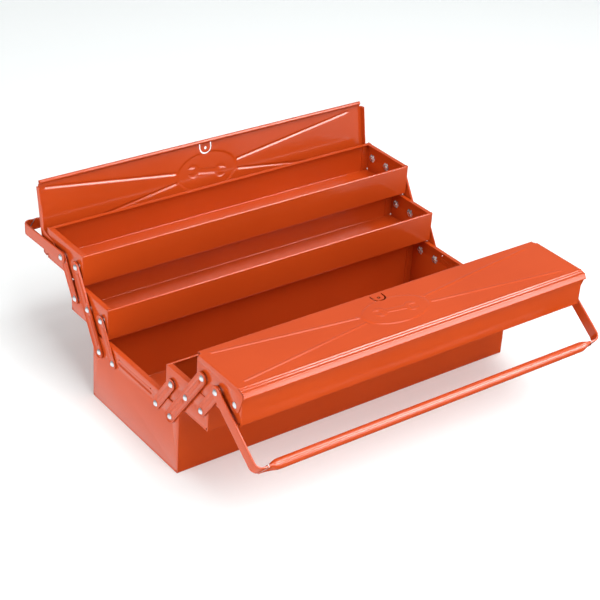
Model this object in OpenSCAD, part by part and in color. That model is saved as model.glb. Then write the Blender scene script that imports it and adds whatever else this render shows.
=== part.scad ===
// Cantilever toolbox in folded sheet steel: a base, two trays on each side carried by link arms,
// a hinged lid on each top tray and two swinging tube handles.
// Frame: origin under the middle of the base, X along the box, Y to the back, Z up.

/* [Base] */
// outside length of the base
base_length = 530; // [400:5:700]
// outside depth of the base, front to back
base_depth = 200; // [180:2:240]
// height of the base walls
base_height = 96; // [80:1:130]

/* [Trays] */
// width of one tray, front to back
tray_width = 90; // [80:1:94]
// height of one tray
tray_height = 44; // [36:1:60]
// empty height left between stacked levels
level_gap = 1.2; // [0.8:0.1:3]
// how much shorter each tray is than the base, per end
tray_inset = 1; // [0.5:0.1:2]
// distance from a tray's inner wall to its first pivot
pivot_margin = 13.9; // [12:0.1:16]

/* [Sheet] */
// thickness of the folded sheet
sheet = 1; // [0.8:0.1:1.5]
// width of the folded top rims
rim_width = 6.5; // [5:0.5:9]
// radius of the rolled bead along a tray's inner wall
hem_radius = 1.5; // [1.2:0.1:2]
// width of the welded corner flanges
lap_width = 12; // [8:1:16]

/* [Linkage] */
// spacing of neighbouring pivots
pivot_pitch = 32; // [28:0.5:34]
// distance from the middle of the box to the first line of pivots
pivot_start = 18.8; // [17:0.1:21]
// depth of every pivot below the top edge of its wall
pivot_depth = 21; // [18:0.5:25]
// rise of the front links above level, in the pose drawn
front_angle = 54.7; // [54.7:0.1:125.3]
// rise of the back links above level, in the pose drawn
back_angle = 58.1; // [54.7:0.1:125.3]
// width of the short links
short_width = 15; // [13:0.5:17]
// width of the long links
long_width = 17; // [15:0.5:19]

/* [Rivets] */
// radius of a rivet's shank
shank_radius = 2.5; // [2:0.1:3]
// running clearance of a link on its rivet, on the radius
running_gap = 0.05; // [0.03:0.01:0.09]
// radius of a rivet's domed head
head_radius = 4.1; // [3.5:0.1:4.6]

/* [Lids] */
// height of the lid's top face above its hinge line
lid_rise = 26; // [25.5:0.1:27]
// how far the front lid stands open
front_lid_angle = 0; // [0:0.1:100.5]
// how far the back lid stands open
back_lid_angle = 100.5; // [0:0.1:100.5]
// depth of the lid's end flanges
lid_flange = 8.7; // [7:0.1:10]

/* [Handles] */
// reach from the handle pivot to the grip's axis
handle_reach = 101.5; // [90:0.5:110]
// outside radius of the grip tube
grip_radius = 6.5; // [5.5:0.1:8]
// width of the flat handle arms
arm_width = 16; // [14:0.5:18]
// thickness of the flat handle arms
arm_thickness = 2.5; // [2:0.1:3]
// slope of the front handle, below level
front_handle_angle = 36; // [-35:1:50]
// slope of the back handle, below level
back_handle_angle = 2; // [-35:1:50]

/* [Hidden] */
$fn = 48;
pitch_z = tray_height + level_gap;
link_reach = sqrt(pivot_pitch * pivot_pitch + pitch_z * pitch_z);
base_half = base_length / 2;
tray_half = base_half - tray_inset;
pivot_z = base_height - pivot_depth;
// faces along X, counted outward from the middle
lid_inner = tray_half + 0.3;
lid_outer = lid_inner + sheet;
link_face = base_half + 0.6;
short_plate = 1;
short_rim = 1.5;
long_plate = 1.2;
long_rim = 2.8;
arm_face = link_face + short_rim + 0.3;
arm_bend = 10;
grip_wall = 1.2;
grip_half = 243;
plug_tip = 256;
// a tray, drawn with its first pivot at the origin and the box's middle on the -Y side
tray_in = -pivot_margin;
tray_out = tray_in + tray_width;
tray_top = pivot_depth;
tray_floor = tray_top - tray_height;
// a lid, drawn with its hinge at the origin
lid_edge = 74;
curl_radius = 2.6;
curl_centre = 79.4;
curl_half = 261;
// the lid's pressings sit a little off its middle
badge_x = -6;
badge_y = -36.5;
loose_gap = 0.3;
washer_radius = 5;

// ---- placing ----
// the back half is drawn; the front half is its mirror image
module front() mirror([0, 1, 0]) children();
module left() mirror([1, 0, 0]) children();
module both_ends() {
  children();
  left() children();
}
// first pivot of the middle tray, for a link angle a
module at_mid(a)
  translate([0, pivot_start + pivot_pitch + link_reach * cos(a), pivot_z + link_reach * sin(a)])
    children();
// first pivot of the top tray
module at_top(a)
  at_mid(a) translate([0, pivot_pitch + link_reach * cos(a), link_reach * sin(a)]) children();
// the line of pivots number n, counted from a tray's first
module at_pivot(n) translate([0, n * pivot_pitch, 0]) children();
// a flat shape drawn in Y and Z, thick along X
module plate(x, thick) translate([x, 0, 0]) rotate([90, 0, 90]) linear_extrude(thick) children();
module bar(low, high) translate(low) cube(high - low);
module rod_y(x, y0, y1, z, r) translate([x, y0, z]) rotate([-90, 0, 0]) cylinder(h = y1 - y0, r = r);
module rod_x(x0, x1, y, z, r) translate([x0, y, z]) rotate([0, 90, 0]) cylinder(h = x1 - x0, r = r);

// ---- folded boxes ----
// floor and two long walls; the inner wall carries a rolled bead, the outer one a folded rim
module tray_trough() {
  half = tray_half - sheet;
  bar([-half, tray_in, tray_floor], [half, tray_out, tray_floor + sheet]);
  bar([-half, tray_in, tray_floor], [half, tray_in + sheet, tray_top - hem_radius]);
  bar([-half, tray_out - sheet, tray_floor], [half, tray_out, tray_top]);
  bar([-half, tray_out - rim_width, tray_top - sheet], [half, tray_out, tray_top]);
  rod_x(-half, half, tray_in + hem_radius, tray_top - hem_radius, hem_radius);
}
module trough_of_base() {
  half = base_half - sheet;
  depth = base_depth / 2;
  bar([-half, -depth, 0], [half, depth, sheet]);
  for (s = [0, 1]) mirror([0, s, 0]) {
    bar([-half, depth - sheet, 0], [half, depth, base_height]);
    bar([-half, depth - rim_width, base_height - sheet], [half, depth, base_height]);
  }
}
// one end wall: y0..y1 wide, z0..z1 high, outer face at x = half
module end_wall(half, y0, y1, z0, z1, clear_in) {
  x = half - sheet;
  difference() {
    bar([x, y0, z0], [half, y1, z1]);
    for (y = [y0 + 2.6, y1 - 2.6]) rod_x(x - 1, half + 1, y, z0 + 2.6, 1.3);
  }
  bar([half - rim_width, y0 + clear_in, z1 - sheet], [x, y1 - rim_width - 0.4, z1]);
  for (y = [y0 + sheet, y1 - 2 * sheet])
    bar([half - lap_width, y, z0 + sheet], [x, y + sheet, z1 - 4]);
}
module rivet_holes(list, z, x) for (y = list) rod_x(x - 3, x + 3, y, z, shank_radius + 0.02);
module tray_end() {
  difference() {
    end_wall(tray_half, tray_in, tray_out, tray_floor, tray_top, 2 * hem_radius + 0.4);
    rivet_holes([for (n = [0:2]) n * pivot_pitch], 0, tray_half);
  }
}
base_pivots = [for (n = [1, 2], s = [-1, 1]) s * (pivot_start + n * pivot_pitch)];
module base_end() {
  depth = base_depth / 2;
  groove_z = base_height - 14;
  difference() {
    union() {
      end_wall(base_half, -depth, depth, 0, base_height, rim_width + 0.4);
      rod_y(base_half - 0.6, -38, 38, groove_z, 2);
    }
    rod_y(base_half + 0.4, -39, 39, groove_z, 1.6);
    bar([base_half, -40, groove_z - 3], [base_half + 3, 40, groove_z + 3]);
    for (s = [-1, 1]) rod_x(base_half - 3, base_half + 3, 36.5 * s, groove_z + 6, 1);
    rivet_holes(base_pivots, pivot_z, base_half);
  }
}

// ---- links ----
// a strip with round ends around pivots reach apart
module strip(reach, width) {
  circle(width / 2);
  translate([reach, 0]) circle(width / 2);
  translate([0, -width / 2]) square([reach, width]);
}
// a stamped link: a plate, a raised rim and a bead between each pair of pivots; the far hole is
// wider where the loop is left open
module link(spans, width, plate_t, rim_t, far_gap) {
  reach = spans * link_reach;
  difference() {
    union() {
      plate(link_face, plate_t) strip(reach, width);
      plate(link_face, rim_t) difference() {
        strip(reach, width);
        strip(reach, width - 2.4);
      }
      for (n = [0:spans - 1])
        translate([0, n * link_reach + 10, 0]) plate(link_face, (plate_t + rim_t) / 2)
          strip(link_reach - 20, 4);
    }
    for (n = [0:spans])
      rod_x(link_face - 2, link_face + 4, n * link_reach, 0,
        shank_radius + (n == spans ? far_gap : running_gap));
  }
}
module long_link(a) translate([0, pivot_start + 2 * pivot_pitch, pivot_z]) rotate([a, 0, 0])
  link(2, long_width, long_plate, long_rim, running_gap);
module inner_link(a) translate([0, pivot_start + pivot_pitch, pivot_z]) rotate([a, 0, 0])
  link(1, short_width, short_plate, short_rim, loose_gap);
module outer_link(a) at_mid(a) at_pivot(2) rotate([a, 0, 0])
  link(1, short_width, short_plate, short_rim, loose_gap);

// ---- rivets and their caps ----
// a rivet through the wall whose outer face is at x, with a washer out to the link and its head at seat
module rivet(x, seat) {
  rod_x(x - 3.4, seat + 0.5, 0, 0, shank_radius);
  if (link_face - x > 1) rod_x(x, link_face - 0.1, 0, 0, washer_radius);
  dome(seat, 2.4);
}
// a domed head, its flat side at x
module dome(x, height) {
  r = (head_radius * head_radius + height * height) / (2 * height);
  translate([x, 0, 0]) rotate([0, 90, 0]) rotate_extrude() intersection() {
    translate([0, height - r]) circle(r);
    square([head_radius, height]);
  }
}
module cap(x) difference() {
  plate(x - sheet - 1.4, 1.4) union() {
    circle(3.7);
    for (t = [0:60:179]) rotate(t) square([12, 3.2], center = true);
  }
  rod_x(x - 9, x + 1, 0, 0, shank_radius + 0.02);
}
short_seat = link_face + short_plate + 0.1;
long_seat = link_face + long_plate + 0.1;
arm_seat = arm_face + arm_thickness + 0.1;
module at_base_pivots() for (s = [0, 1]) mirror([0, s, 0])
  translate([0, pivot_start + pivot_pitch, pivot_z]) children();
module mid_rivet_set() {
  rivet(tray_half, short_seat);
  at_pivot(1) rivet(tray_half, long_seat);
  at_pivot(2) rivet(tray_half, short_seat);
}
module top_rivet_set() {
  rivet(tray_half, long_seat);
  at_pivot(1) rivet(tray_half, arm_seat);
  // the lid's own hinge rivet needs no washer, because the lid's ear runs against the tray
  at_pivot(2) {
    rod_x(tray_half - 3.4, lid_outer + 0.6, 0, 0, shank_radius);
    dome(lid_outer + 0.1, 1.6);
  }
}
module cap_set() for (n = [0:2]) at_pivot(n) cap(tray_half);

// ---- lids ----
// drawn closed over the back top tray with the hinge at the origin
module lid_profile() {
  inner = lid_rise - sheet;
  polygon(concat([[-77.4, lid_rise]], lip_outer(), lip_inner(), [[6.6, inner], [-77.4, inner]]));
}
// the stepped lip over the outer wall, from the lid's top face down and back
function lip_outer() = [[7, lid_rise], [8, lid_rise - 1.1], [9.8, lid_rise - 1.2],
  [10.8, lid_rise - 2.2], [12.9, lid_rise - 2.4], [17.3, lid_rise - 7.3], [17.5, lid_rise - 7.9],
  [17.5, lid_rise - 9.4]];
function lip_inner() = [[16.5, lid_rise - 9.4], [16.5, lid_rise - 8.1], [12.5, lid_rise - 3.5],
  [10.4, lid_rise - 3.2], [9.4, lid_rise - 2.2], [7.6, lid_rise - 2.1]];
module lid_ear() difference() {
  union() {
    circle(9.5);
    polygon([[-lid_edge, lid_rise], [-lid_edge, lid_rise - lid_flange],
      [-17, lid_rise - lid_flange], [-9, -3], [0, -3], [8, -5], [14.6, 14], [14.6, 19.6],
      [12, lid_rise - 3.8], [10, lid_rise - 3.4], [8.4, lid_rise - 2.4], [7, lid_rise - 1.2], [7, lid_rise]]);
  }
  circle(shank_radius + running_gap);
}
// a stadium of overall size length by width
module oval(length, width) translate([-(length - width) / 2, 0]) strip(length - width, width);
module lid() {
  difference() {
    union() {
      plate(-curl_half, 2 * curl_half) lid_profile();
      plate(-lid_outer, 2 * lid_outer) polygon([[-lid_edge, lid_rise], [7, lid_rise],
        [6.6, lid_rise - sheet], [-lid_edge, lid_rise - sheet]]);
      // the lip runs on over the tops of the end flanges
      plate(-lid_outer, 2 * lid_outer)
        polygon(concat([[6.9, lid_rise]], lip_outer(), lip_inner(), [[6.6, lid_rise - sheet]]));
      rod_x(-curl_half, curl_half, -curl_centre, lid_rise - curl_radius, curl_radius);
      translate([badge_x, badge_y, lid_rise - 0.1]) linear_extrude(0.9) badge_outline(48.5, 27.5);
      lid_ribs(lid_rise - 0.1, 0.9, 5);
    }
    rod_x(-curl_half - 1, curl_half + 1, -curl_centre, lid_rise - curl_radius, curl_radius - 0.9);
    translate([badge_x, badge_y, lid_rise - sheet - 1]) linear_extrude(1.8) badge_outline(47.5, 26.5);
    lid_ribs(lid_rise - sheet - 1, 1.8, 3);
    translate([badge_x, 0, lid_rise - 4]) linear_extrude(6) hasp_cut();
  }
  both_ends() plate(lid_inner, sheet) lid_ear();
}
module badge_outline(a, b) scale([a / b, 1]) circle(b);
// four pressed ribs running from the badge to the corners
module lid_ribs(z, thick, width) for (s = [0, 1], t = [0, 1])
  translate([badge_x, badge_y, z]) mirror([s, 0, 0]) mirror([0, t, 0]) translate([51, 7, 0])
    rotate(7.8) linear_extrude(thick) strip(196, width);
// the U-shaped cut round the padlock tongue, and the tongue's hole
module hasp_cut() {
  translate([0, -69.3]) circle(2.2);
  difference() {
    hasp_outline(10);
    hasp_outline(7.8);
  }
}
module hasp_outline(r) {
  translate([0, -70.7]) intersection() {
    circle(r);
    translate([-r, 0]) square([2 * r, r]);
  }
  translate([-r, -76.6]) square([2 * r, 5.95]);
}
module placed_lid(a, opening) at_top(a) at_pivot(2) rotate([-opening, 0, 0]) lid();

// ---- handles ----
// drawn with the pivot at the origin and the arms along +Y
module handle_arm() {
  bend_x = arm_face + arm_thickness / 2 - arm_bend;
  bend_y = handle_reach - arm_bend;
  difference() {
    plate(arm_face, arm_thickness) union() {
      circle(arm_width / 2 + 0.5);
      translate([0, -arm_width / 2]) square([bend_y, arm_width]);
    }
    rod_x(arm_face - 1, arm_face + 4, 0, 0, shank_radius + running_gap);
  }
  translate([bend_x, bend_y, 0]) rotate_extrude(angle = 90)
    translate([arm_bend - arm_thickness / 2, -arm_width / 2]) square([arm_thickness, arm_width]);
  bar([plug_tip - 6, handle_reach - arm_thickness / 2, -arm_width / 2 + 1],
    [bend_x, handle_reach + arm_thickness / 2, arm_width / 2 - 1]);
  // the tube's flattened end
  intersection() {
    rod_x(grip_half, plug_tip, handle_reach, 0, grip_radius);
    translate([0, handle_reach, -grip_radius]) linear_extrude(2 * grip_radius) polygon([
      [grip_half, grip_radius], [plug_tip, 2.2], [plug_tip, -2.2], [grip_half, -grip_radius]]);
  }
}
module handle_grip() difference() {
  rod_x(-grip_half, grip_half, handle_reach, 0, grip_radius);
  rod_x(-grip_half - 1, grip_half + 1, handle_reach, 0, grip_radius - grip_wall);
}
module placed_handle(a, slope) at_top(a) at_pivot(1) rotate([-slope, 0, 0]) children();

// ---- parts ----
paint = [0.82, 0.2, 0.08];
zinc = [0.8, 0.81, 0.83];
module base_trough() color(paint) trough_of_base();
module base_end_left() color(paint) left() base_end();
module base_end_right() color(paint) base_end();
module front_mid_trough() color(paint) front() at_mid(front_angle) tray_trough();
module front_mid_end_left() color(paint) front() left() at_mid(front_angle) tray_end();
module front_mid_end_right() color(paint) front() at_mid(front_angle) tray_end();
module front_top_trough() color(paint) front() at_top(front_angle) tray_trough();
module front_top_end_left() color(paint) front() left() at_top(front_angle) tray_end();
module front_top_end_right() color(paint) front() at_top(front_angle) tray_end();
module back_mid_trough() color(paint) at_mid(back_angle) tray_trough();
module back_mid_end_left() color(paint) left() at_mid(back_angle) tray_end();
module back_mid_end_right() color(paint) at_mid(back_angle) tray_end();
module back_top_trough() color(paint) at_top(back_angle) tray_trough();
module back_top_end_left() color(paint) left() at_top(back_angle) tray_end();
module back_top_end_right() color(paint) at_top(back_angle) tray_end();
module front_lid() color(paint) front() placed_lid(front_angle, front_lid_angle);
module back_lid() color(paint) placed_lid(back_angle, back_lid_angle);
module front_long_link_left() color(paint) front() left() long_link(front_angle);
module front_long_link_right() color(paint) front() long_link(front_angle);
module front_inner_link_left() color(paint) front() left() inner_link(front_angle);
module front_inner_link_right() color(paint) front() inner_link(front_angle);
module front_outer_link_left() color(paint) front() left() outer_link(front_angle);
module front_outer_link_right() color(paint) front() outer_link(front_angle);
module back_long_link_left() color(paint) left() long_link(back_angle);
module back_long_link_right() color(paint) long_link(back_angle);
module back_inner_link_left() color(paint) left() inner_link(back_angle);
module back_inner_link_right() color(paint) inner_link(back_angle);
module back_outer_link_left() color(paint) left() outer_link(back_angle);
module back_outer_link_right() color(paint) outer_link(back_angle);
module front_grip() color(paint) front() placed_handle(front_angle, front_handle_angle) handle_grip();
module front_arm_left() color(paint) front() left()
  placed_handle(front_angle, front_handle_angle) handle_arm();
module front_arm_right() color(paint) front()
  placed_handle(front_angle, front_handle_angle) handle_arm();
module back_grip() color(paint) placed_handle(back_angle, back_handle_angle) handle_grip();
module back_arm_left() color(paint) left()
  placed_handle(back_angle, back_handle_angle) handle_arm();
module back_arm_right() color(paint) placed_handle(back_angle, back_handle_angle) handle_arm();
module base_rivets() color(zinc) both_ends() at_base_pivots() {
  rivet(base_half, short_seat);
  at_pivot(1) rivet(base_half, long_seat);
}
module front_mid_rivets() color(zinc) front() both_ends() at_mid(front_angle) mid_rivet_set();
module front_top_rivets() color(zinc) front() both_ends() at_top(front_angle) top_rivet_set();
module back_mid_rivets() color(zinc) both_ends() at_mid(back_angle) mid_rivet_set();
module back_top_rivets() color(zinc) both_ends() at_top(back_angle) top_rivet_set();
module base_caps() color(zinc) both_ends() at_base_pivots() for (n = [0, 1]) at_pivot(n) cap(base_half);
module front_mid_caps() color(zinc) front() both_ends() at_mid(front_angle) cap_set();
module front_top_caps() color(zinc) front() both_ends() at_top(front_angle) cap_set();
module back_mid_caps() color(zinc) both_ends() at_mid(back_angle) cap_set();
module back_top_caps() color(zinc) both_ends() at_top(back_angle) cap_set();

base_trough();
base_end_left();
base_end_right();
front_mid_trough();
front_mid_end_left();
front_mid_end_right();
front_top_trough();
front_top_end_left();
front_top_end_right();
back_mid_trough();
back_mid_end_left();
back_mid_end_right();
back_top_trough();
back_top_end_left();
back_top_end_right();
front_lid();
back_lid();
front_long_link_left();
front_long_link_right();
front_inner_link_left();
front_inner_link_right();
front_outer_link_left();
front_outer_link_right();
back_long_link_left();
back_long_link_right();
back_inner_link_left();
back_inner_link_right();
back_outer_link_left();
back_outer_link_right();
front_grip();
front_arm_left();
front_arm_right();
back_grip();
back_arm_left();
back_arm_right();
base_rivets();
front_mid_rivets();
front_top_rivets();
back_mid_rivets();
back_top_rivets();
base_caps();
front_mid_caps();
front_top_caps();
back_mid_caps();
back_top_caps();
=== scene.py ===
import math

import bmesh
import bpy
from mathutils import Matrix, Vector


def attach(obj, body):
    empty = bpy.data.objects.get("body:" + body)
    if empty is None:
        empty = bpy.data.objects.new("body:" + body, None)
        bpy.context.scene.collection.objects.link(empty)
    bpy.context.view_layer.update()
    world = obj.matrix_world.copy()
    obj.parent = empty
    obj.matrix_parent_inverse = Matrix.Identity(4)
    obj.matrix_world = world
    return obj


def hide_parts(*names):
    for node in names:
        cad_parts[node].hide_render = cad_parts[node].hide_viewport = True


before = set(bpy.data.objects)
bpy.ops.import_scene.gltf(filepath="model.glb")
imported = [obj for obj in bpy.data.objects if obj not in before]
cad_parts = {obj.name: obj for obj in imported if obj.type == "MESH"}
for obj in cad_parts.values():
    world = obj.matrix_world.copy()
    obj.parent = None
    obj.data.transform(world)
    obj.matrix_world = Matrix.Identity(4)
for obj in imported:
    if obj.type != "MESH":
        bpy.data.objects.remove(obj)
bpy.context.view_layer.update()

# ---- sizes in millimetres, the same as the CAD model's ----
SHEET = 1.0
MID = SHEET / 2  # a folded sheet's line runs in the middle of its thickness
RIM = 6.5  # how far a folded rim reaches in
BASE_HALF, BASE_DEPTH, BASE_HEIGHT = 265.0, 100.0, 96.0
TRAY_HALF, TRAY_HEIGHT = 264.0, 44.0
PITCH, LEVEL = 32.0, 45.2
REACH = math.hypot(PITCH, LEVEL)
START, PIVOT_Z, TOP = 18.8, 75.0, 21.0
TRAY_IN, TRAY_OUT = -13.9, 76.1
FLOOR = TOP - TRAY_HEIGHT
ANGLE = {"front": math.radians(54.7), "back": math.radians(58.1)}
LID_OPEN = {"front": 0.0, "back": math.radians(100.5)}
HANDLE_SLOPE = {"front": math.radians(36), "back": math.radians(2)}
SIDE = {"front": -1, "back": 1}
END = {"left": -1, "right": 1}
LID_RISE, LID_INNER, LID_OUTER = 26.0, 264.3, 265.3
LINK_FACE, ARM_FACE = 265.6, 267.4
GRIP_R, HANDLE_REACH, ARM_BEND = 6.5, 101.5, 10.0
GRIP_STRAIGHT = 236.0  # half the length of the tube that is still round
STRAP, STRAP_END = 2.5, 8.3  # the arms' thickness, and the radius of their round end
# the lid's pressings sit a little off its middle
BADGE_X, BADGE_Y, BADGE_A, BADGE_B = -6.0, -36.5, 48.5, 27.5
HASP_HOLE_Y, HASP_HOLE_R = -69.3, 2.2
LID_PANEL = 262.0  # half the length of the lid's flat panel
FREE_EDGE = -76.2  # where the lid's flat panel ends and its curled edge begins
RIVET_HOLE_R, RIVET_HEAD_R, RIVET_HEAD_H, LID_RIVET_H = 2.52, 4.1, 2.4, 1.6
BEND_R = 1.4  # outer corners of the folded troughs
EDGE = 0.15  # how far a sheet's cut edges are eased
BEAD_REACH, BEAD_R, BEAD_DROP = 74.0, 2.4, 14.0  # the groove pressed in the base's ends


# ---- materials ----
def material(name):
    mat = bpy.data.materials.new(name)
    mat.use_nodes = True
    nodes, links = mat.node_tree.nodes, mat.node_tree.links
    return mat, nodes, links, nodes["Principled BSDF"]


def noise(nodes, links, coords, scale, detail, rough=0.5):
    tex = nodes.new("ShaderNodeTexNoise")
    tex.inputs["Scale"].default_value = scale
    tex.inputs["Detail"].default_value = detail
    tex.inputs["Roughness"].default_value = rough
    links.new(coords, tex.inputs["Vector"])
    return tex.outputs["Fac"]


def ramp(nodes, links, value, stops):
    node = nodes.new("ShaderNodeValToRGB")
    ends = node.color_ramp.elements
    while len(ends) < len(stops):
        ends.new(0.5)
    for element, (place, colour) in zip(ends, stops):
        element.position = place
        element.color = colour if len(colour) == 4 else (*colour, 1)
    links.new(value, node.inputs["Fac"])
    return node.outputs["Color"]


def mix(nodes, links, kind, factor, a, b):
    node = nodes.new("ShaderNodeMix")
    node.data_type, node.blend_type = "RGBA", kind
    for socket, value in ((node.inputs[0], factor), (node.inputs[6], a), (node.inputs[7], b)):
        if isinstance(value, (int, float, tuple)):
            socket.default_value = value
        else:
            links.new(value, socket)
    return node.outputs[2]


def bump(nodes, links, height, strength, distance):
    node = nodes.new("ShaderNodeBump")
    node.inputs["Strength"].default_value = strength
    node.inputs["Distance"].default_value = distance
    links.new(height, node.inputs["Height"])
    return node


def grey(v):
    return (v, v, v)


def painted(name, colour, deep):
    """Stoved enamel: a slow colour drift, orange peel, faint rub marks and a dusting of specks."""
    mat, nodes, links, shader = material(name)
    coords = nodes.new("ShaderNodeTexCoord").outputs["Object"]
    drift = noise(nodes, links, coords, 7, 3)
    base = ramp(nodes, links, drift, [(0.32, deep), (0.68, colour)])
    specks = noise(nodes, links, coords, 1100, 2, 0.7)
    mask = ramp(nodes, links, specks, [(0.70, grey(0)), (0.82, grey(1))])
    base = mix(nodes, links, "MIX", mask, base, (*[c * 0.8 for c in deep], 1))
    links.new(base, shader.inputs["Base Color"])
    rub = noise(nodes, links, coords, 18, 5, 0.6)
    rough = ramp(nodes, links, rub, [(0.3, grey(0.13)), (0.75, grey(0.20))])
    links.new(rough, shader.inputs["Roughness"])
    peel = noise(nodes, links, coords, 520, 2)
    wave = noise(nodes, links, coords, 16, 2)
    fine = bump(nodes, links, peel, 0.06, 0.0002)
    slow = bump(nodes, links, wave, 0.10, 0.0015)
    links.new(fine.outputs["Normal"], slow.inputs["Normal"])
    links.new(slow.outputs["Normal"], shader.inputs["Normal"])
    shader.inputs["IOR"].default_value = 1.5
    shader.inputs["Specular IOR Level"].default_value = 0.38
    return mat


def plated(name, colour, dark, rough_low, rough_high, metallic=1.0):
    """Bare or plated metal: a cloudy spangle and fine grain in its gloss. For the caps the near-white and
    near-black cloud is painted glints and painted shade.
    """
    mat, nodes, links, shader = material(name)
    coords = nodes.new("ShaderNodeTexCoord").outputs["Object"]
    cloud = noise(nodes, links, coords, 260, 3)
    links.new(ramp(nodes, links, cloud, [(0.3, dark), (0.65, colour)]), shader.inputs["Base Color"])
    grain = noise(nodes, links, coords, 1500, 2)
    rough = ramp(nodes, links, grain, [(0.3, grey(rough_low)), (0.7, grey(rough_high))])
    links.new(rough, shader.inputs["Roughness"])
    links.new(bump(nodes, links, grain, 0.15, 0.0001).outputs["Normal"], shader.inputs["Normal"])
    shader.inputs["Metallic"].default_value = metallic
    return mat


PAINT = painted("orange_enamel", (0.51, 0.060, 0.008), (0.47, 0.053, 0.007))
ZINC = plated("bright_zinc", (0.86, 0.88, 0.91), (0.62, 0.65, 0.70), 0.16, 0.34)
# the caps' colour runs in a cloud from near-white to near-black: painted glints and painted shade standing in
# for bright petals and dark gaps, not the steel's own spangle
CAP = plated("spring_steel_painted_light", (0.90, 0.95, 0.95), (0.16, 0.17, 0.18), 0.14, 0.30, 0.6)
WELD = plated("weld_metal", (0.50, 0.48, 0.48), (0.30, 0.28, 0.28), 0.35, 0.55)


# ---- mesh making, in millimetres ----
class Build:
    """Collects solids in a local frame, then becomes one object in the row's frame."""

    def __init__(self):
        self.mesh = bmesh.new()

    def grid(self, rows, cyclic=False, caps=True):
        """Skins rows of points, each row a closed ring when cyclic."""
        made = [[self.mesh.verts.new(p) for p in row] for row in rows]
        count = len(made[0])
        for low, high in zip(made, made[1:]):
            for i in range(count if cyclic else count - 1):
                j = (i + 1) % count
                self.mesh.faces.new((low[i], low[j], high[j], high[i]))
        if caps and cyclic:
            self.mesh.faces.new(made[0][::-1])
            self.mesh.faces.new(made[-1])

    def merge(self, other, matrix):
        """Adds a mesh datablock, which is then removed."""
        part = bmesh.new()
        part.from_mesh(other)
        bmesh.ops.remove_doubles(part, verts=part.verts, dist=0.001)
        bmesh.ops.transform(part, matrix=matrix, verts=part.verts)
        temp = bpy.data.meshes.new("temp")
        part.to_mesh(temp)
        part.free()
        self.mesh.from_mesh(temp)
        bpy.data.meshes.remove(temp)
        bpy.data.meshes.remove(other)


def rounded(points, radius, steps=5):
    """An open line with its corners rounded."""
    points = [Vector(p) for p in points]
    out = [points[0]]
    for a, b, c in zip(points, points[1:], points[2:]):
        u, v = (a - b).normalized(), (c - b).normalized()
        half = u.angle(v) / 2
        if half > math.pi / 2 - 0.01:
            out.append(b)
            continue
        reach = min(radius / math.tan(half), (a - b).length * 0.49, (c - b).length * 0.49)
        r = reach * math.tan(half)
        centre = b + (u + v).normalized() * (r / math.sin(half))
        p, q = b + u * reach - centre, b + v * reach - centre
        start = math.atan2(p.y, p.x)
        sweep = (math.atan2(q.y, q.x) - start + math.pi) % (2 * math.pi) - math.pi
        for k in range(steps + 1):
            t = start + sweep * k / steps
            out.append(centre + Vector((math.cos(t), math.sin(t))) * r)
    out.append(points[-1])
    return out


def normals(line):
    """The left-hand normal at each point of a line."""
    out = []
    for i, p in enumerate(line):
        a, b = line[max(i - 1, 0)], line[min(i + 1, len(line) - 1)]
        t = (b - a).normalized()
        out.append(Vector((-t.y, t.x)))
    return out


def folded(build, line, low, high, axis):
    """A folded sheet: the line lies in the two axes other than axis, and runs from low to high along it."""
    side, half = normals(line), SHEET / 2

    def point(p, w):
        return (w, p.x, p.y) if axis == "x" else (p.x, w, p.y) if axis == "y" else (p.x, p.y, w)

    rows = []
    for w, inset in ((low, EDGE), (low + EDGE, 0), (high - EDGE, 0), (high, EDGE)):
        left = [p + n * (half - inset) for p, n in zip(line, side)]
        right = [p - n * (half - inset) for p, n in zip(line, side)]
        rows.append(([point(p, w) for p in left], [point(p, w) for p in right]))
    mesh = build.mesh
    made = [([mesh.verts.new(p) for p in a], [mesh.verts.new(p) for p in b]) for a, b in rows]
    count = len(line)
    for (la, lb), (ha, hb) in zip(made, made[1:]):
        for i in range(count - 1):
            mesh.faces.new((la[i], la[i + 1], ha[i + 1], ha[i]))
            mesh.faces.new((lb[i], hb[i], hb[i + 1], lb[i + 1]))
        mesh.faces.new((la[0], ha[0], hb[0], lb[0]))
        mesh.faces.new((la[-1], lb[-1], hb[-1], ha[-1]))
    for (a, b), flip in ((made[0], False), (made[-1], True)):
        for i in range(count - 1):
            quad = (a[i], b[i], b[i + 1], a[i + 1])
            mesh.faces.new(quad[::-1] if flip else quad)


def circle(radius, centre=(0, 0), count=32):
    steps = [2 * math.pi * k / count for k in range(count)]
    return [Vector((centre[0] + radius * math.cos(t), centre[1] + radius * math.sin(t))) for t in steps]


def stadium(reach, radius, count=16):
    """The outline of a strip with round ends, its ends' centres at 0 and reach."""
    out = []
    for k in range(count + 1):
        t = -math.pi / 2 + math.pi * k / count
        out.append(Vector((reach + radius * math.cos(t), radius * math.sin(t))))
    for k in range(count + 1):
        t = math.pi / 2 + math.pi * k / count
        out.append(Vector((radius * math.cos(t), radius * math.sin(t))))
    return out


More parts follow.
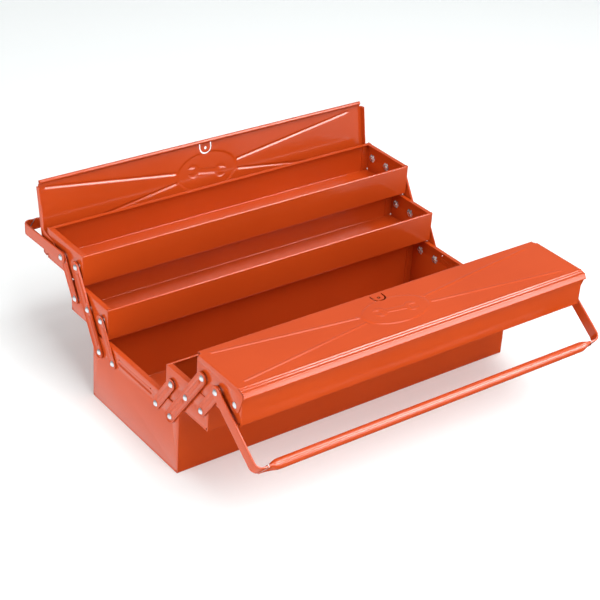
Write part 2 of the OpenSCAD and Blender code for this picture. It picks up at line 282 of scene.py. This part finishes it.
def plate(build, loops, low, thick, edge=EDGE, to_x=True):
    """A flat sheet with holes. The loops lie in Y and Z, or with to_x False in X and Y."""
    curve = bpy.data.curves.new("plate", "CURVE")
    curve.dimensions, curve.fill_mode = "2D", "BOTH"
    curve.extrude, curve.bevel_depth, curve.offset = thick / 2 - edge, edge, -edge
    curve.bevel_resolution = 1
    for loop in loops:
        spline = curve.splines.new("POLY")
        spline.points.add(len(loop) - 1)
        for point, p in zip(spline.points, loop):
            point.co = (p[0], p[1], 0, 1)
        spline.use_cyclic_u = True
    temp = bpy.data.objects.new("plate", curve)
    bpy.context.scene.collection.objects.link(temp)
    graph = bpy.context.evaluated_depsgraph_get()
    mesh = bpy.data.meshes.new_from_object(temp.evaluated_get(graph))
    bpy.data.objects.remove(temp)
    bpy.data.curves.remove(curve)
    if to_x:
        turn = Matrix(((0, 0, 1, 0), (1, 0, 0, 0), (0, 1, 0, 0), (0, 0, 0, 1)))
        build.merge(mesh, Matrix.Translation((low + thick / 2, 0, 0)) @ turn)
    else:
        build.merge(mesh, Matrix.Translation((0, 0, low + thick / 2)))


def lathe(build, profile, centre, count=28):
    """Spins (radius, x) pairs round an X axis through centre = (y, z)."""
    rows = []
    for r, x in profile:
        rows.append([(x, centre[0] + p.x, centre[1] + p.y) for p in circle(r, count=count)])
    build.grid(rows, cyclic=True)


def dished(build, reach, radius, rings, x, matrix, count=14):
    """Concentric stadium rings (inset, height), capped at both ends: a pressed strip or bead."""
    rows = []
    for inset, height in rings:
        row = [Vector((x + height, p.x, p.y)) for p in stadium(reach, radius - inset, count)]
        rows.append([matrix @ p for p in row])
    build.grid(rows, cyclic=True)


def finish_object(name, build, matrix, body, mat, nodes=(), sharp=32):
    """Turns millimetres into metres, sharpens the folds over an angle, and hands the piece to its body."""
    mesh = build.mesh
    bmesh.ops.transform(mesh, matrix=Matrix.Scale(0.001, 4) @ matrix, verts=mesh.verts)
    bmesh.ops.recalc_face_normals(mesh, faces=mesh.faces)
    for face in mesh.faces:
        face.smooth = True
    limit = math.radians(sharp)
    for edge in mesh.edges:
        edge.smooth = len(edge.link_faces) == 2 and edge.calc_face_angle(0) < limit
    data = bpy.data.meshes.new(name)
    mesh.to_mesh(data)
    mesh.free()
    data.materials.append(mat)
    obj = bpy.data.objects.new(name, data)
    bpy.context.scene.collection.objects.link(obj)
    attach(obj, body)
    if nodes:
        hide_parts(*nodes)


def row_frame(side, end=1, y=0.0, z=0.0, turn=0.0):
    """Local millimetres to the row's frame: front is the back's mirror image, left the right's."""
    place = Matrix.Translation((0, y, z)) @ Matrix.Rotation(turn, 4, "X")
    return Matrix.Diagonal((END[end] if isinstance(end, str) else end, SIDE[side], 1, 1)) @ place


def tray_place(side, level):
    """Where the first pivot of a tray lies in the row's frame."""
    a = ANGLE[side]
    steps = 1 if level == "mid" else 2
    return START + steps * (PITCH + REACH * math.cos(a)), PIVOT_Z + steps * REACH * math.sin(a)


# ---- folded boxes ----
def curl(centre, radius, degrees):
    """Points round a rolled edge."""
    return [Vector(centre) + Vector((math.cos(t), math.sin(t))) * radius for t in map(math.radians, degrees)]


def tray_trough(side, level):
    """A tray's floor and long walls, with the spot welds on its folded rim."""
    build = Build()
    y, z = tray_place(side, level)
    corner = [(TRAY_IN + MID, TOP - 3), (TRAY_IN + MID, FLOOR + MID), (TRAY_OUT - MID, FLOOR + MID),
              (TRAY_OUT - MID, TOP - MID), (TRAY_OUT - RIM, TOP - MID)]
    line = curl((TRAY_IN + 1.5, TOP - 1.5), 1.0, range(-75, 181, 15)) + rounded(corner, BEND_R)[1:]
    folded(build, line, -TRAY_HALF + SHEET, TRAY_HALF - SHEET, "x")
    for end in (-1, 1):
        for offset in (9, 17):
            weld = [(0.2, 0), (1.8, 0), (2.1, -0.06), (2.1, -0.5)]
            sides = 18
            lathe(build, weld, (0, 0), sides)
            spot = build.mesh.verts[-len(weld) * sides:]
            turn = Matrix.Translation((end * (TRAY_HALF - offset), TRAY_OUT - 3.4, TOP + 0.08))
            bmesh.ops.transform(build.mesh, matrix=turn @ Matrix.Rotation(-math.pi / 2, 4, "Y"), verts=spot)
            build.mesh.verts.ensure_lookup_table()
    name, place = f"{side}_{level}_trough", row_frame(side, 1, y, z)
    finish_object(name + "_sheet", build, place, f"{side}_{level}_tray", PAINT, [name])


def base_trough():
    build = Build()
    half = [(BASE_DEPTH - RIM, BASE_HEIGHT - MID), (BASE_DEPTH - MID, BASE_HEIGHT - MID),
            (BASE_DEPTH - MID, MID), (0, MID)]
    right = rounded(half, BEND_R)
    left = [Vector((-p.x, p.y)) for p in right[-2::-1]]
    folded(build, right + left, -BASE_HALF + SHEET, BASE_HALF - SHEET, "x")
    finish_object("base_trough_sheet", build, row_frame("back"), "base", PAINT, ["base_trough"])


def end_sheet(build, half, y0, y1, z0, z1, holes, slots, inner_gap):
    """One end: an outer skin with a folded top rim, welding flanges and notched bottom corners."""
    notch, lap, drop = 0.8, RIM + 0.4, 2.2
    skin = [(y0, z0 + notch), (y0 + notch * 0.3, z0 + notch), (y0 + notch, z0 + notch * 0.3), (y0 + notch, z0),
            (y1 - notch, z0), (y1 - notch, z0 + notch * 0.3), (y1 - notch * 0.3, z0 + notch), (y1, z0 + notch),
            (y1, z1), (y1 - lap, z1), (y1 - lap, z1 - drop), (y0 + inner_gap, z1 - drop),
            (y0 + inner_gap, z1), (y0, z1)]
    relief = [circle(1.25, (y, z0 + 2.6), 14) for y in (y0 + 2.6, y1 - 2.6)]
    plate(build, [skin] + holes + slots + relief, half - SHEET, SHEET)
    rim = rounded([(half - RIM, z1 - MID), (half - MID, z1 - MID), (half - MID, z1 - drop - 0.1)], 1.2)
    folded(build, rim, y0 + inner_gap, y1 - lap, "y")
    for y in (y0 + 1.5, y1 - 1.5):
        bend = rounded([(half - 12, y), (half - 1.1, y)], 0.5)
        folded(build, bend, z0 + 1.5, z1 - 4, "z")


def tray_end(side, level, end):
    build = Build()
    y, z = tray_place(side, level)
    holes = [circle(RIVET_HOLE_R, (n * PITCH, 0), 20) for n in range(3)]
    end_sheet(build, TRAY_HALF, TRAY_IN, TRAY_OUT, FLOOR, TOP, holes, [], 3.4)
    name, place = f"{side}_{level}_end_{end}", row_frame(side, end, y, z)
    finish_object(name + "_sheet", build, place, f"{side}_{level}_tray", PAINT, [name])


def base_end(end):
    build = Build()
    bead_z = BASE_HEIGHT - BEAD_DROP
    pivots = [s * (START + n * PITCH) for n in (1, 2) for s in (-1, 1)]
    holes = [circle(RIVET_HOLE_R, (y, PIVOT_Z), 20) for y in pivots]
    holes += [circle(1.0, (s * 36.5, bead_z + 6), 16) for s in (-1, 1)]
    slot = [Vector((p.x - BEAD_REACH / 2, p.y + bead_z)) for p in stadium(BEAD_REACH, BEAD_R, 14)]
    end_sheet(build, BASE_HALF, -BASE_DEPTH, BASE_DEPTH, 0, BASE_HEIGHT, holes, [slot], 6.9)
    groove = [(1.9, -1.38), (1.7, -1.35), (1.1, -1.0), (0.5, -0.35), (0.0, -0.15), (0.0, -0.9),
              (0.9, -1.7), (1.7, -2.0)]
    matrix = Matrix.Translation((0, -BEAD_REACH / 2, bead_z))
    dished(build, BEAD_REACH, BEAD_R, groove, BASE_HALF, matrix)
    name = f"base_end_{end}"
    finish_object(name + "_sheet", build, row_frame("back", end), "base", PAINT, [name])


# ---- links ----
def pressed_link(side, kind, end):
    """A strip with a raised rim and a flat bead between each pair of pivots."""
    build = Build()
    spans, radius, floor, rim = (2, 8.5, 1.2, 2.8) if kind == "long" else (1, 7.5, 1.0, 1.5)
    a = ANGLE[side]
    if kind == "outer":
        y, z = tray_place(side, "mid")
        y += 2 * PITCH
    else:
        y, z = START + PITCH * (2 if kind == "long" else 1), PIVOT_Z
    rings = [(0.35, 0.0), (0.0, 0.3), (0.0, rim - 0.45), (0.15, rim - 0.12), (0.5, rim), (0.95, rim - 0.05),
             (1.35, rim - 0.35), (1.35 + (rim - floor) * 0.5, floor + 0.15), (1.7 + (rim - floor) * 0.5, floor)]
    dished(build, spans * REACH, radius, rings, LINK_FACE, Matrix.Identity(4), 18)
    top = floor + (0.75 if kind == "long" else 0.42)
    bead = [(0.9, floor - 0.5), (0.0, floor - 0.1), (0.35, floor + 0.15), (1.0, top - 0.08), (1.5, top)]
    for n in range(spans):
        shift = Matrix.Translation((0, n * REACH + 10.5, 0))
        dished(build, REACH - 21, 2.9, bead, LINK_FACE, shift, 10)
    name = f"{side}_{kind}_link_{end}"
    place = row_frame(side, end, y, z, a)
    finish_object(name + "_pressing", build, place, f"{side}_{kind}_links", PAINT, [name])


# ---- rivets and caps ----
def rivet(build, y, z, wall, seat, height, washer):
    """A domed head on a shank with a round point, and a washer between the wall and the link."""
    head = [(0.3, wall - 3.9), (1.1, wall - 3.8), (1.9, wall - 3.5), (2.5, wall - 2.9), (2.5, seat),
            (RIVET_HEAD_R - 0.2, seat), (RIVET_HEAD_R, seat + 0.15)]
    radius = (RIVET_HEAD_R ** 2 + height ** 2) / (2 * height)
    for k in range(1, 8):
        r = RIVET_HEAD_R * (1 - k / 7.6)
        head.append((r, seat + height - radius + math.sqrt(radius ** 2 - r ** 2)))
    lathe(build, head, (y, z))
    if washer:
        lathe(build, [(2.6, wall), (4.8, wall), (5.0, wall + 0.2), (5.0, LINK_FACE - 0.3),
                      (4.8, LINK_FACE - 0.1), (2.6, LINK_FACE - 0.1)], (y, z))


def star_cap(build, y, z, wall):
    """A push-on cap: a raised collar with six petals bent down to the wall."""
    count, petals = 90, 6
    # the radius between the petals, the radius along them, and the height off the wall
    shape = ((2.52, 2.52, -1.3), (2.7, 2.7, -1.9), (3.1, 3.1, -2.0), (3.5, 3.7, -1.75), (3.7, 5.0, -1.2),
             (3.75, 5.9, -0.55), (3.75, 6.1, -0.3), (3.75, 6.1, -0.05), (3.6, 5.8, -0.02), (3.3, 4.4, -0.6),
             (2.52, 2.52, -0.9))
    rows = []
    for inner, outer, height in shape:
        ring = []
        for k in range(count):
            t = 2 * math.pi * k / count
            off = abs((t * petals / (2 * math.pi) + 0.5) % 1 - 0.5)
            r = inner + (outer - inner) * ease(0.37, 0.25, off)
            ring.append((wall + height, y + r * math.cos(t), z + r * math.sin(t)))
        rows.append(ring)
    build.grid(rows + [rows[0]], cyclic=True, caps=False)


def fasteners(prefix, body, spots, side="back"):
    """spots are (y, z, wall, seat, height, washer) for the right end; the left end is their mirror image."""
    rivets, caps = Build(), Build()
    for y, z, wall, seat, height, washer in spots:
        rivet(rivets, y, z, wall, seat, height, washer)
        star_cap(caps, y, z, wall - SHEET)
    for build in (rivets, caps):
        bmesh.ops.remove_doubles(build.mesh, verts=build.mesh.verts, dist=0.0005)
        everything = build.mesh.verts[:] + build.mesh.edges[:] + build.mesh.faces[:]
        made = bmesh.ops.duplicate(build.mesh, geom=everything)
        verts = [g for g in made["geom"] if isinstance(g, bmesh.types.BMVert)]
        bmesh.ops.transform(build.mesh, matrix=Matrix.Diagonal((-1, 1, 1, 1)), verts=verts)
    place = row_frame(side)
    finish_object(prefix + "_rivet_heads", rivets, place, body, ZINC, [prefix + "_rivets"])
    finish_object(prefix + "_star_caps", caps, place, body, CAP, [prefix + "_caps"])


# ---- lids ----
def ease(low, high, value):
    """A smooth step, 0 at low and 1 at high."""
    t = min(1.0, max(0.0, (value - low) / (high - low)))
    return t * t * (3 - 2 * t)


def to_segment(x, y, ax, ay, bx, by):
    """The distance of x, y from the segment a to b."""
    dx, dy = bx - ax, by - ay
    t = min(1.0, max(0.0, ((x - ax) * dx + (y - ay) * dy) / (dx * dx + dy * dy)))
    return math.hypot(x - ax - t * dx, y - ay - t * dy)


def emboss(x, y):
    """Height pressed into the lid at x and y, y counted outward from the hinge."""
    dx, dy = x - BADGE_X, y - BADGE_Y
    rib = to_segment(abs(dx), abs(dy), 51, 7.0, 245.2, 33.6)
    height = 0.85 * ease(2.5, 0.5, rib)
    oval = math.hypot(dx / BADGE_A, dy / BADGE_B)
    height += 0.8 * ease(1.02, 0.94, oval)
    # a plain open-ended spanner in the middle of the badge
    u = dx * 0.985 + dy * 0.17
    v = -dx * 0.17 + dy * 0.985
    shaft = to_segment(u, v, -16, 0, 16, 0) - 3.6
    heads = min(math.hypot(u - 22, v) - 9, math.hypot(u + 22, v) - 9)
    jaw = max(abs(v) - 4.0, 20 - abs(u))
    tool = max(min(shaft, heads), -jaw)
    height += 0.55 * ease(0.7, -0.7, tool)
    return height


def lid_columns():
    """X stations, close together at the badge and at the ribs' ends."""
    x, out = 0.0, [0.0]
    while x < LID_PANEL:
        x += 0.8 if x < 62 else 2.6 if x < 232 else 1.0 if x < 255 else 2.0
        out.append(min(x, LID_PANEL))
    return [-v for v in out[:0:-1]] + out


def hasp_shape():
    """The U-shaped cut round the padlock tongue."""
    outer, inner, centre, stop = 10.0, 7.8, -70.7, -76.4
    turn = [math.pi * k / 20 for k in range(21)]
    loop = [(outer * math.cos(t), centre + outer * math.sin(t)) for t in turn]
    loop += [(-outer, stop), (-inner, stop)]
    loop += [(inner * math.cos(t), centre + inner * math.sin(t)) for t in turn[::-1]]
    loop += [(inner, stop), (outer, stop)]
    return [Vector((BADGE_X + x, y)) for x, y in loop]


def lid(side):
    build = Build()
    top = LID_RISE - MID
    columns = lid_columns()
    rows = [FREE_EDGE + 0.78 * k for k in range(106)]
    upper, lower = [], []
    for y in rows:
        heights = [emboss(x, y) for x in columns]
        upper.append([(x, y, top + MID + h) for x, h in zip(columns, heights)])
        lower.append([(x, y, top - MID + h) for x, h in zip(columns, heights)])
    last = rows[-1]
    # one closed skin: the top face, the underside and the border between them
    loops = [u + d[::-1] for u, d in zip(upper, lower)]
    panel = Build()
    panel.grid(loops, cyclic=True, caps=False)
    panel.mesh.verts.ensure_lookup_table()
    count, width = len(loops[0]), len(columns)
    for first in (0, (len(rows) - 1) * count):
        ring = [panel.mesh.verts[first + k] for k in range(count)]
        for k in range(width - 1):
            panel.mesh.faces.new((ring[k], ring[k + 1], ring[count - 2 - k], ring[count - 1 - k]))
    bmesh.ops.recalc_face_normals(panel.mesh, faces=panel.mesh.faces)
    sheet = bpy.data.meshes.new("sheet")
    panel.mesh.to_mesh(sheet)
    panel.mesh.free()
    cutter = Build()
    plate(cutter, [hasp_shape()], top - 3, 6, 0.01, False)
    plate(cutter, [circle(HASP_HOLE_R, (BADGE_X, HASP_HOLE_Y), 24)], top - 3, 6, 0.01, False)
    bmesh.ops.recalc_face_normals(cutter.mesh, faces=cutter.mesh.faces)
    tool = bpy.data.meshes.new("cutter")
    cutter.mesh.to_mesh(tool)
    cutter.mesh.free()
    holder, blade = bpy.data.objects.new("sheet", sheet), bpy.data.objects.new("cutter", tool)
    for obj in (holder, blade):
        bpy.context.scene.collection.objects.link(obj)
    cut = holder.modifiers.new("cut", "BOOLEAN")
    cut.operation, cut.object, cut.solver = "DIFFERENCE", blade, "MANIFOLD"
    graph = bpy.context.evaluated_depsgraph_get()
    result = bpy.data.meshes.new_from_object(holder.evaluated_get(graph))
    for obj, mesh in ((holder, sheet), (blade, tool)):
        bpy.data.objects.remove(obj)
        bpy.data.meshes.remove(mesh)
    build.merge(result, Matrix.Identity(4))

    # the curled free edge
    line = [Vector((FREE_EDGE, top))] + curl((-79.4, LID_RISE - 2.6), 2.1, range(90, 401, 15))
    folded(build, line, 1 - LID_PANEL, LID_PANEL - 1, "x")
    # stepped beads and the overhanging lip
    lip = [(last, top), (6.9, top), (7.7, top - 1.15), (9.9, top - 1.05), (10.7, top - 2.2), (14.4, top - 2.2),
           (17.0, top - 7.4), (17.0, top - 8.75)]
    folded(build, rounded(lip, 0.45, 4), -LID_OUTER + 0.1, LID_OUTER - 0.1, "x")
    # folded ends with their hinge ears
    ear = [(-74, LID_RISE - 2.4), (-74, LID_RISE - 8.0), (-73.3, LID_RISE - 8.7), (-18, LID_RISE - 8.7),
           (-16.5, LID_RISE - 9.3)]
    ear += [(9.5 * math.cos(t), 9.5 * math.sin(t)) for t in
            [math.radians(196 + k * (330 - 196) / 16) for k in range(17)]]
    ear += [(14.4, 13.6), (14.6, 14.4), (14.6, 19.4), (12, 21.9), (10, 22.3), (8.2, 23.2),
            (6.8, LID_RISE - 2.4)]
    for sign in (-1, 1):
        wall = sign * (LID_OUTER - MID)
        fold = rounded([(sign * LID_PANEL, top), (wall, top), (wall, LID_RISE - 2.5)], 1.5)
        folded(build, fold, -74, last + 0.3, "y")
        plate(build, [ear, circle(2.55, (0, 0), 20)], LID_INNER if sign > 0 else -LID_OUTER, SHEET)
    y, z = tray_place(side, "top")
    place = row_frame(side, 1, y + 2 * PITCH, z, -LID_OPEN[side])
    finish_object(f"{side}_lid_sheet", build, place, f"{side}_cover", PAINT, [f"{side}_lid"], 40)


# ---- handles ----
TUBE_SLANT = 0.7  # how much the tube's flattened ends are cut on the slant


def section(a, b, power, count=28):
    """A rounded section, a by b to each side; power 2 is an ellipse, more is squarer."""
    out = []
    for k in range(count):
        t = 2 * math.pi * (k + 0.5) / count
        c, s = math.cos(t), math.sin(t)
        out.append((a * math.copysign(abs(c) ** (2 / power), c), b * math.copysign(abs(s) ** (2 / power), s)))
    return out


def handle(side):
    """Two strap arms with their welds, and the tube between them."""
    y, z = tray_place(side, "top")
    turn = -HANDLE_SLOPE[side]
    body = f"{side}_handle"
    for end in ("left", "right"):
        build = Build()
        x = ARM_FACE + STRAP / 2
        path = rounded([(x, -STRAP_END), (x, HANDLE_REACH), (250, HANDLE_REACH)], ARM_BEND, 16)
        stations = [path[0] + Vector((0, s)) for s in (0, 0.15, 0.6, 1.4, 2.6, 4.2, 6.2, 8.3)] + path[1:]
        rows = []
        for p, n in zip(stations, normals(stations)):
            along = p.y + STRAP_END
            wide = 8.0 if along > 8 else math.sqrt(max(STRAP_END ** 2 - (STRAP_END - along) ** 2, 0.02))
            wide -= 1.2 * ease(260, 255, p.x)
            thin = STRAP / 2 * min(1.0, 0.75 + 0.25 * along)
            ring = []
            for a, b in section(thin, wide, 7 if along > 4 else 4):
                q = p + n * a
                ring.append((q.x, q.y, b))
            rows.append(ring)
        build.grid(rows, cyclic=True)
        name = f"{side}_arm_{end}"
        place = row_frame(side, end, y + PITCH, z, turn)
        finish_object(name + "_strap", build, place, body, PAINT, [name])
        # the weld runs aslant round the tube's flattened end, outside and inside the bend
        weld = Build()
        for face, size in ((1, 0.5), (-1, 0.9)):
            rows = []
            for k in range(25):
                pz = 7.2 * (k / 12 - 1)
                px = 258.0 - TUBE_SLANT * pz
                bend = max(px - (x - ARM_BEND), 0)
                py = HANDLE_REACH - ARM_BEND + math.sqrt((ARM_BEND + face * STRAP / 2) ** 2 - bend ** 2)
                swell = size * (1 + 0.22 * math.sin(1.4 * k + 2))
                rows.append([(px + a, py + b, pz) for a, b in section(swell, size * 0.85, 2, 10)])
            weld.grid(rows, cyclic=True)
        finish_object(f"{side}_weld_{end}", weld, place, body, WELD)
    build = Build()
    # station, half sizes and squareness of the section, from the flattened tip to the round tube
    taper = [(257.2, 1.7, 7.3, 5), (256.9, 2.0, 7.6, 5), (254, 2.2, 7.8, 4), (250, 2.9, 7.7, 3.2),
             (246.5, 4.2, 7.3, 2.6), (243, 5.5, 6.9, 2.2), (239.5, 6.3, 6.6, 2.05),
             (GRIP_STRAIGHT, GRIP_R, GRIP_R, 2)]
    stations = [(-x, a, b, p) for x, a, b, p in taper]
    stations += [(GRIP_STRAIGHT * (k / 6 - 1), GRIP_R, GRIP_R, 2) for k in range(1, 12)]
    stations += taper[::-1]
    rows = []
    for x, a, b, power in stations:
        slant = -math.copysign(TUBE_SLANT * ease(243, 255, abs(x)), x)
        ring = [(x + slant * q, HANDLE_REACH + p, q) for p, q in section(a, b, power, 44)]
        # the tube's closed seam, a shallow groove along its inner side
        for k in (21, 22):
            px, py, pz = ring[k]
            ring[k] = (px, py + 0.25, pz * 0.4)
        rows.append(ring)
    build.grid(rows, cyclic=True)
    name, place = f"{side}_grip", row_frame(side, 1, y + PITCH, z, turn)
    finish_object(name + "_tube", build, place, body, PAINT, [name], 50)


# ---- assembly ----
base_trough()
short_seat, long_seat, arm_seat = LINK_FACE + 1.1, LINK_FACE + 1.3, ARM_FACE + 2.6
for end in END:
    base_end(end)
spots = []
for s in (-1, 1):
    spots.append((s * (START + PITCH), PIVOT_Z, BASE_HALF, short_seat, RIVET_HEAD_H, False))
    spots.append((s * (START + 2 * PITCH), PIVOT_Z, BASE_HALF, long_seat, RIVET_HEAD_H, False))
fasteners("base", "base", spots)
for side in SIDE:
    for level in ("mid", "top"):
        tray_trough(side, level)
        for end in END:
            tray_end(side, level, end)
        y, z = tray_place(side, level)
        if level == "mid":
            row = [(seat, RIVET_HEAD_H, True) for seat in (short_seat, long_seat, short_seat)]
        else:
            row = [(seat, RIVET_HEAD_H, True) for seat in (long_seat, arm_seat)]
            row.append((LID_OUTER + 0.1, LID_RIVET_H, False))
        spots = [(y + n * PITCH, z, TRAY_HALF, *spot) for n, spot in enumerate(row)]
        fasteners(f"{side}_{level}", f"{side}_{level}_tray", spots, side)
    for kind in ("long", "inner", "outer"):
        for end in END:
            pressed_link(side, kind, end)
    lid(side)
    handle(side)

# ---- floor, light and camera ----
floor_mesh = bpy.data.meshes.new("floor")
FLOOR_HALF = 9
corners = [(x * FLOOR_HALF, y * FLOOR_HALF, 0) for x, y in ((-1, -1), (1, -1), (1, 1), (-1, 1))]
floor_mesh.from_pydata(corners, [], [(0, 1, 2, 3)])
floor = bpy.data.objects.new("floor", floor_mesh)
floor.location.z = -0.0003
bpy.context.scene.collection.objects.link(floor)
floor_mat, nodes, links, shader = material("pale_floor")
shader.inputs["Base Color"].default_value = (0.79, 0.825, 0.825, 1)
shader.inputs["Emission Color"].default_value = (1.0, 0.99, 0.985, 1)
shader.inputs["Emission Strength"].default_value = 0.19
shader.inputs["Roughness"].default_value = 0.9
shader.inputs["Specular IOR Level"].default_value = 0.1
floor_mesh.materials.append(floor_mat)
floor.visible_glossy = False

world = bpy.data.worlds.new("studio")
bpy.context.scene.world = world
world.use_nodes = True
nodes, links = world.node_tree.nodes, world.node_tree.links
coords = nodes.new("ShaderNodeTexCoord").outputs["Generated"]


def facing(direction, stops):
    """Brightness of the surroundings by how far a ray points along a direction."""
    node = nodes.new("ShaderNodeVectorMath")
    node.operation = "DOT_PRODUCT"
    node.inputs[1].default_value = direction
    links.new(coords, node.inputs[0])
    return ramp(nodes, links, node.outputs["Value"], [(place, grey(v)) for place, v in stops])


tent = facing((0, 0, -1), [(0.2, 0.25), (0.45, 0.03)])
low_left = facing((-0.8, 0, -0.6), [(0.25, 0.04), (0.6, 0.8)])
low_front = facing((0.536, -0.80, -0.237), [(0.95, 0.03), (0.985, 0.6)])
sides = mix(nodes, links, "LIGHTEN", 1.0, tent, low_left)
sky = mix(nodes, links, "LIGHTEN", 1.0, sides, low_front)
links.new(sky, nodes["Background"].inputs["Color"])
nodes["Background"].inputs["Strength"].default_value = 1.5


TARGET = Vector((0, 0, 0.12))


def softbox(name, place, size, radiance, diffuse=True, glossy=False):
    """A rectangular light facing the box; its first size lies across the X axis and its second along it."""
    data = bpy.data.lights.new(name, "AREA")
    data.shape, data.size, data.size_y = "RECTANGLE", size[0], size[1]
    data.energy = radiance * math.pi * size[0] * size[1]
    lamp = bpy.data.objects.new(name, data)
    out = (Vector(place) - TARGET).normalized()
    along = Vector((1, 0, 0)).cross(out).normalized()
    turn = Matrix((along, out.cross(along), out)).transposed().to_4x4()
    lamp.matrix_world = Matrix.Translation(place) @ turn
    lamp.visible_diffuse, lamp.visible_glossy = diffuse, glossy
    if not diffuse:
        data.cycles.max_bounces = 1
    bpy.context.scene.collection.objects.link(lamp)


# soft lights that colour the surfaces, and narrow ones that only show in the gloss
softbox("key", (0.8, -0.1, 2.2), (1.2, 1.0), 3.6, glossy=True)
softbox("top", (0.0, -1.2, 2.1), (2.4, 1.6), 5.2, glossy=True)
softbox("front", (-0.2, -2.6, 0.9), (2.4, 1.4), 1.3)
softbox("left_fill", (-2.4, 0.2, 0.3), (1.6, 0.6), 10.0)
softbox("strip", (1.34, -2.05, 0.51), (0.7, 1.0), 9, diffuse=False, glossy=True)
softbox("edge_strip", (1.34, -1.62, 1.36), (0.65, 0.8), 24, diffuse=False, glossy=True)
softbox("high_strip", (1.34, -0.7, 2.05), (0.7, 0.7), 18, diffuse=False, glossy=True)

AZIMUTH, ELEVATION, ROLL = math.radians(-38.476), math.radians(30.514), math.radians(4.106)
SHIFT_X, SHIFT_Y, DISTANCE = 0.005125, -0.097599, 2.176416
SENSOR, FOCAL_WIDTHS = 36.0, 1625.175 / 600  # the focal length counted in picture widths
back = Vector((
    math.sin(AZIMUTH) * math.cos(ELEVATION),
    -math.cos(AZIMUTH) * math.cos(ELEVATION),
    math.sin(ELEVATION),
))
right = Vector((0, 0, 1)).cross(back).normalized()
up = back.cross(right)
cam_x = math.cos(ROLL) * right + math.sin(ROLL) * up
cam_y = -math.sin(ROLL) * right + math.cos(ROLL) * up
camera_data = bpy.data.cameras.new("camera")
camera_data.sensor_width = SENSOR
camera_data.lens = SENSOR * FOCAL_WIDTHS
camera = bpy.data.objects.new("camera", camera_data)
turn = Matrix((cam_x, cam_y, back)).transposed().to_4x4()
camera.matrix_world = Matrix.Translation(back * DISTANCE - cam_x * SHIFT_X - cam_y * SHIFT_Y) @ turn
bpy.context.scene.collection.objects.link(camera)
bpy.context.scene.camera = camera
bpy.context.scene.view_settings.view_transform = "Standard"
